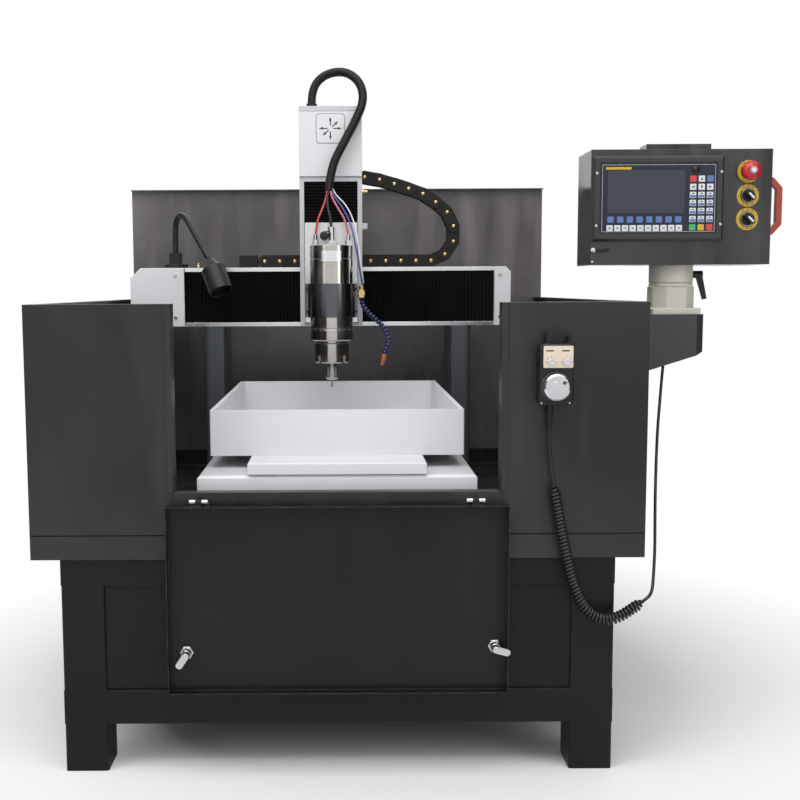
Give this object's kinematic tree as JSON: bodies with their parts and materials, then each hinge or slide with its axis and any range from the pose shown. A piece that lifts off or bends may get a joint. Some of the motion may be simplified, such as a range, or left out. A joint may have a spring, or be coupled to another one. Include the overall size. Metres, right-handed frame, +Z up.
{
  "type": "cnc milling machine",
  "caption": "Moving-table milling machine with a fixed gantry, enclosed steel stand, fold-down door, swivelling console and hanging hand wheel unit.",
  "frame": {"origin": "on the floor under the middle of the whole object's box, its leads left out", "axes": "+X to the operator's right, +Y towards the back, +Z up"},
  "size_m": [1.479, 1.1642, 1.4486],
  "materials": {
    "black_paint": "satin black, lightly textured",
    "dark_sheet": "satin dark paint, slightly blotched",
    "grey_paint": "satin dark grey paint",
    "white_paint": "white powder coat",
    "white_plastic": "matte white sheet",
    "aluminium": "clear anodised",
    "cast_iron": "machined and oiled",
    "black_iron": "black motor paint",
    "steel": "turned steel",
    "chrome": "bright plated",
    "dark_steel": "dark anodised clamp",
    "bellows": "coated black cloth pleats",
    "chain": "moulded black nylon",
    "black_plastic": "fine grained black plastic",
    "conduit": "black ribbed conduit",
    "lead": "black cable sheath",
    "hose": "dark blue hose beads",
    "brass": "plain brass",
    "red_plastic": "glossy red",
    "red_paint": "red coated handle",
    "cast_beige": "pale grey cast housing paint",
    "bezel": "fine textured black bezel",
    "wheel": "machined aluminium wheel"
  },
  "bodies": {
    "stand": {"base_frame": "black_paint", "base_panels": "black_paint", "tray": "black_paint", "left_cover": "black_paint", "right_cover": "black_paint", "back_panel": "dark_sheet", "door_hinges": "chrome", "bed": "cast_iron", "bed_cover": "white_paint", "uprights": "grey_paint", "x_beam": "aluminium", "x_motor_cover": "white_paint", "x_end_cap": "white_paint", "axis_motors": "black_iron", "chain_lower": "chain", "lamp_stand": "black_plastic", "lamp_head": "black_plastic", "console_bracket": "grey_paint", "column_base": "cast_beige", "handset": "black_plastic", "handset_lead_top": "lead", "handset_lead_curl": "lead", "handset_lead_end": "lead"},
    "table": {"table_plate": "white_paint", "tank": "white_plastic", "y_blocks": "steel"},
    "table_screw": {"y_screw": "steel"},
    "beam_screw": {"x_screw": "steel"},
    "head": {"z_body": "aluminium", "z_motor": "black_iron", "z_motor_cover": "white_paint", "x_blocks": "steel", "conduit_gland": "black_plastic", "chain_upper": "chain", "x_bellows_left": "bellows", "x_bellows_right": "bellows", "z_bellows": "bellows", "conduit": "conduit"},
    "head_screw": {"z_screw": "steel"},
    "spindle_slide": {"spindle_plate": "aluminium", "spindle_clamp": "dark_steel", "spindle": "steel", "spindle_fittings": "chrome", "coolant_valve": "brass", "coolant_hose": "hose"},
    "rotor": {"spindle_rotor": "steel"},
    "door": {"door": "black_paint"},
    "lock_left": {"lock_left": "chrome"},
    "lock_right": {"lock_right": "chrome"},
    "console": {"console_box": "black_paint", "control_unit": "bezel", "console_handle": "red_paint", "swivel_head": "cast_beige"},
    "stop_button": {"estop_button": "red_plastic"},
    "selector_upper": {"selector_upper": "black_plastic"},
    "selector_lower": {"selector_lower": "black_plastic"},
    "lever": {"clamp_lever": "black_plastic"},
    "hand_wheel": {"hand_wheel": "wheel"},
    "dial_left": {"dial_left": "wheel"},
    "dial_right": {"dial_right": "wheel"}
  },
  "joints": [
    {"name": "table_travel", "type": "slide", "parent": "stand", "child": "table", "axis": [0, 1, 0], "range_m": [-0.02, 0.28]},
    {"name": "table_screw_turn", "type": "hinge", "parent": "stand", "child": "table_screw", "pos_m": [-0.1645, -0.02885, 0.499], "axis": [0, 1, 0], "continuous": true},
    {"name": "head_travel", "type": "slide", "parent": "stand", "child": "head", "axis": [1, 0, 0], "range_m": [-0.15, 0.18], "deforming": ["x_bellows_left", "x_bellows_right", "chain_upper"]},
    {"name": "beam_screw_turn", "type": "hinge", "parent": "stand", "child": "beam_screw", "pos_m": [-0.1645, 0.28915, 0.897], "axis": [1, 0, 0], "continuous": true},
    {"name": "spindle_travel", "type": "slide", "parent": "head", "child": "spindle_slide", "axis": [0, 0, 1], "range_m": [-0.08, 0.085], "deforming": ["z_bellows", "conduit"]},
    {"name": "head_screw_turn", "type": "hinge", "parent": "head", "child": "head_screw", "pos_m": [-0.1785, 0.21315, 1], "axis": [0, 0, 1], "continuous": true},
    {"name": "rotor_spin", "type": "hinge", "parent": "spindle_slide", "child": "rotor", "pos_m": [-0.1775, 0.06815, 0.8], "axis": [0, 0, 1], "continuous": true},
    {"name": "door_swing", "type": "hinge", "parent": "stand", "child": "door", "pos_m": [-0.1645, -0.5425, 0.5258], "axis": [-1, 0, 0], "range_deg": [0, 177]},
    {"name": "lock_left_turn", "type": "hinge", "parent": "door", "child": "lock_left", "pos_m": [-0.4485, -0.54885, 0.238], "axis": [0, -1, 0], "range_deg": [-56, 34]},
    {"name": "lock_right_turn", "type": "hinge", "parent": "door", "child": "lock_right", "pos_m": [0.1295, -0.54885, 0.248], "axis": [0, -1, 0], "range_deg": [-75, 15]},
    {"name": "console_swivel", "type": "hinge", "parent": "stand", "child": "console", "pos_m": [0.519, -0.28385, 0.94], "axis": [0, 0, 1], "range_deg": [-90, 90]},
    {"name": "stop_press", "type": "slide", "parent": "console", "child": "stop_button", "axis": [0, 1, 0], "range_m": [0, 0.004], "stiffness_N_per_m": 800},
    {"name": "selector_upper_turn", "type": "hinge", "parent": "console", "child": "selector_upper", "pos_m": [0.6495, -0.34385, 1.096], "axis": [0, -1, 0], "range_deg": [0, 90]},
    {"name": "selector_lower_turn", "type": "hinge", "parent": "console", "child": "selector_lower", "pos_m": [0.6495, -0.34385, 1.05], "axis": [0, -1, 0], "range_deg": [0, 90]},
    {"name": "lever_turn", "type": "hinge", "parent": "console", "child": "lever", "pos_m": [0.5655, -0.28385, 0.94225], "axis": [1, 0, 0], "range_deg": [-80, 80]},
    {"name": "hand_wheel_turn", "type": "hinge", "parent": "stand", "child": "hand_wheel", "pos_m": [0.2325, -0.56885, 0.7385], "axis": [0, 1, 0], "continuous": true},
    {"name": "dial_left_turn", "type": "hinge", "parent": "stand", "child": "dial_left", "pos_m": [0.2235, -0.56885, 0.7834], "axis": [0, 1, 0], "range_deg": [-60, 60]},
    {"name": "dial_right_turn", "type": "hinge", "parent": "stand", "child": "dial_right", "pos_m": [0.2518, -0.56885, 0.7834], "axis": [0, 1, 0], "range_deg": [-60, 60]}
  ],
  "couplings": [
    {"joint": "table_screw_turn", "follows": "table_travel", "rad_per_m": 628.32},
    {"joint": "beam_screw_turn", "follows": "head_travel", "rad_per_m": 628.32},
    {"joint": "head_screw_turn", "follows": "spindle_travel", "rad_per_m": 628.32}
  ]
}
